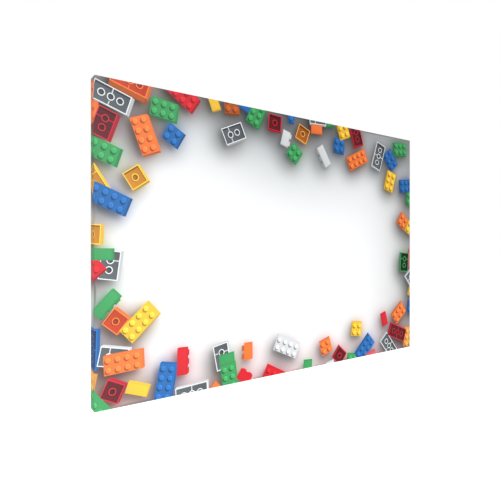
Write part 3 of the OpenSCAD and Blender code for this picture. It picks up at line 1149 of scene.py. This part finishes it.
fill(grain, result, {
    "Color": vector(grain, "SCALE", {0: wood_colour, "Scale": fibre_shade}),
    "Roughness": times_plus(grain, late, -0.15, 0.72),
    "Height": times_plus(grain, late, 0.4, fibre),
})
print("grain nodes:", len(grain.nodes))

# %% Wooden pieces
GRAIN_RELIEF, GRAIN_DEPTH = 0.35, 0.0002
SIDEWAYS = (0.0, 0.0, 0.0)
UPRIGHT = (0.0, math.radians(90), 0.0)
PINE = (paint(232, 202, 152), paint(196, 146, 92))
PLYWOOD = (paint(214, 178, 124), paint(172, 124, 76))
BEECH = (paint(224, 184, 142), paint(196, 150, 108))


def dress(names, material):
    """Gives CAD nodes their finish."""
    for name in names:
        data = nodes[name].data
        data.materials.clear()
        data.materials.append(material)


def wood(name, tones, turn, shift, rings=400.0, waviness=0.02):
    """A wood finish whose grain runs along X once turned, from a log shifted to one side."""
    material, tree, shader, place = new_material(name)
    in_log = add(
        tree, "ShaderNodeMapping", {"Vector": place, "Rotation": turn, "Location": shift}
    ).outputs[0]
    out = use_group(tree, grain, Place=in_log, Early_wood=tones[0], Late_wood=tones[1],
                    Rings_per_metre=rings, Waviness=waviness)
    surface(tree, shader, out["Color"], out["Roughness"], out["Height"], GRAIN_RELIEF, GRAIN_DEPTH)
    return material


# node, finish, tones, turn, shift, and where they differ rings and waviness
for piece, *finish in (
    ("top_bar", "pine_top", PINE, SIDEWAYS, (0.3, 0.06, 0.03)),
    ("bottom_bar", "pine_bottom", PINE, SIDEWAYS, (1.7, 0.09, 0.61)),
    ("left_bar", "pine_left", PINE, UPRIGHT, (0.9, 0.05, -0.36)),
    ("right_bar", "pine_right", PINE, UPRIGHT, (2.4, 0.08, 0.53)),
    ("centre_brace", "pine_brace", PINE, UPRIGHT, (3.1, 0.04, 0.07)),
    ("corner_keys", "plywood", PLYWOOD, SIDEWAYS, (0.2, 0.02, 0.0), 700.0),
    ("brace_dowels", "beech", BEECH, UPRIGHT, (0.1, 0.2, 0.1), 400.0, 0.004),
):
    dress([piece], wood(*finish))
print("wooden pieces dressed")

# %% [markdown]
# ## Hardboard, cork and rubber
# Hardboard is pressed against a wire screen, so its back carries a fine
# waffle of pits about two millimetres apart between flecks of fibre. Cork is
# granules of every brown, which cells of a Voronoi pattern give. The bumpers
# are dull moulded rubber with a very fine grain.

# %% Hardboard
SCREEN_PITCH = 0.0022
hardboard, tree, shader, place = new_material("fibreboard")
flecks = noise(tree, place, 900.0, 4.0, 0.7)
blotch = noise(tree, place, 40.0, 3.0)
phase = vector(tree, "SCALE", {0: place, "Scale": math.tau / SCREEN_PITCH})
axes = add(tree, "ShaderNodeSeparateXYZ", {0: phase}).outputs
waffle = calc(tree, "ADD", calc(tree, "SINE", axes["X"]), calc(tree, "SINE", axes["Z"]))
pits = times_plus(tree, waffle, 0.25, 0.5)
mixed = times_plus(tree, blotch, 0.12, calc(tree, "MULTIPLY", flecks, 0.88))
browns = add(tree, "ShaderNodeValToRGB", {0: mixed})
dark_end, pale_end = browns.color_ramp.elements
dark_end.position, dark_end.color = 0.34, paint(96, 66, 42)
pale_end.position, pale_end.color = 0.66, paint(156, 116, 78)
# painted shade: the brown is darker in the pits of the waffle
painted_pit_shade = times_plus(tree, pits, 0.22, 0.84)
brown = vector(tree, "SCALE", {0: browns.outputs["Color"], "Scale": painted_pit_shade})
rough = times_plus(tree, flecks, -0.2, 0.85)
surface(tree, shader, brown, rough, times_plus(tree, flecks, 0.35, pits), 0.4, 0.0003)
dress(["backing_panel"], hardboard)
print("hardboard dressed")

# %% Cork
cork, tree, shader, place = new_material("cork")
cells = add(tree, "ShaderNodeTexVoronoi", {"Vector": place, "Scale": 420.0}).outputs
browns = add(tree, "ShaderNodeValToRGB", {0: cells["Color"]})
for position, shade in ((0.25, (120, 78, 44)), (0.6, (178, 130, 82)), (0.9, (206, 162, 110))):
    browns.color_ramp.elements.new(position).color = paint(*shade)
surface(tree, shader, browns.outputs["Color"], 0.85, cells["Distance"], 0.4, 0.0005)
dress(["cork_sheet"], cork)
print("cork dressed")

# %% Rubber and the fittings
rubber, tree, shader, place = new_material("bumper_rubber")
bloom = noise(tree, place, 240.0, 3.0)
black = two_tone(tree, bloom, paint(38, 38, 40), paint(62, 62, 64))
rough = times_plus(tree, bloom, 0.25, 0.5)
surface(tree, shader, black, rough, noise(tree, place, 2400.0), 0.2, 0.0001)
dress([name for name in nodes if name.endswith("_bumper")], rubber)
dress(["panel_pins"], METALS["bright_steel"])
for ending, metal in (
    ("_hanger_strap", "zinc_plate"), ("_hanger_screws", "zinc_screw"), ("_ring", "ring_steel"),
):
    dress(["left" + ending, "right" + ending], METALS[metal])
bare = [name for name in nodes if not nodes[name].data.materials]
print("CAD nodes without a finish:", bare)

# %% [markdown]
# ## The studio
# The board hangs above a pale floor in an even white room. To the camera the
# room is pure white, but it lights the board at half strength, so the inks
# stay deep. A broad soft lamp behind and to the left of the camera gives the
# sides and the fittings their shape, and a second one behind the board lights
# the back for the views that go round it.

# %% Floor, light and room
FLOOR_DROP = 0.35
FLOOR_SIZE = 30.0
FLOOR_GLOW = 0.6
ROOM_LIGHT = 0.5
WHITE = (1, 1, 1, 1)
half = FLOOR_SIZE / 2
floor_z = cad_low.z - FLOOR_DROP
floor_corners = [(-half, -half), (half, -half), (half, half), (-half, half)]
floor = mesh_object("floor", [(x, y, floor_z) for x, y in floor_corners], faces=[(0, 1, 2, 3)])
paper, tree, shader, place = new_material("pale_paper")
tooth = noise(tree, place, 500.0)
pale = two_tone(tree, tooth, (0.86, 0.86, 0.86, 1.0), (0.9, 0.9, 0.9, 1.0))
fill(tree, shader, {"Base Color": pale, "Roughness": 0.9,
                    "Emission Color": WHITE, "Emission Strength": FLOOR_GLOW})
floor.data.materials.append(paper)

room = bpy.data.worlds.new("white_room")
room.use_nodes = True
sky = room.node_tree
seen = add(sky, "ShaderNodeLightPath").outputs["Is Camera Ray"]
strength = times_plus(sky, seen, 1 - ROOM_LIGHT, ROOM_LIGHT)
fill(sky, sky.nodes["Background"], {"Strength": strength, "Color": WHITE})
bpy.context.scene.world = room
bpy.context.scene.view_settings.view_transform = "Standard"


def soft_lamp(name, place, aim, size, watts):
    """A square area lamp that faces a point."""
    lamp = bpy.data.lights.new(name, "AREA")
    lamp.size = size
    lamp.energy = watts
    made = in_scene(name, lamp)
    made.location = place
    made.rotation_euler = (aim - place).to_track_quat("-Z", "Y").to_euler()


middle = Vector((0, FRONT_Y, MID_Z))
soft_lamp("key", middle + Vector((-1.2, -2.6, 1.4)), middle, 1.8, 47)
soft_lamp("back", middle + Vector((1.5, 2.0, 1.6)), middle, 1.4, 30)
print("floor at", round(floor_z, 3))

# %% [markdown]
# ## The camera
# The view is from the board's left, about thirty-five degrees off square and
# level with its middle, close enough for the near edge to look half as tall
# again as the far one.

# %% Place the camera
CAMERA_LEFT = 0.6725
CAMERA_BACK = 0.811
CAMERA_TURN = 34.5
camera = bpy.data.cameras.new("camera")
camera.lens = 32.25
camera.sensor_width = 36
camera.shift_y = -0.0128
eye = in_scene("camera", camera)
eye.location = (-CAMERA_LEFT, FRONT_Y - CAMERA_BACK, MID_Z)
eye.rotation_euler = (math.radians(90), 0, math.radians(-CAMERA_TURN))
bpy.context.scene.camera = eye
print("camera at", [round(c, 3) for c in eye.location])
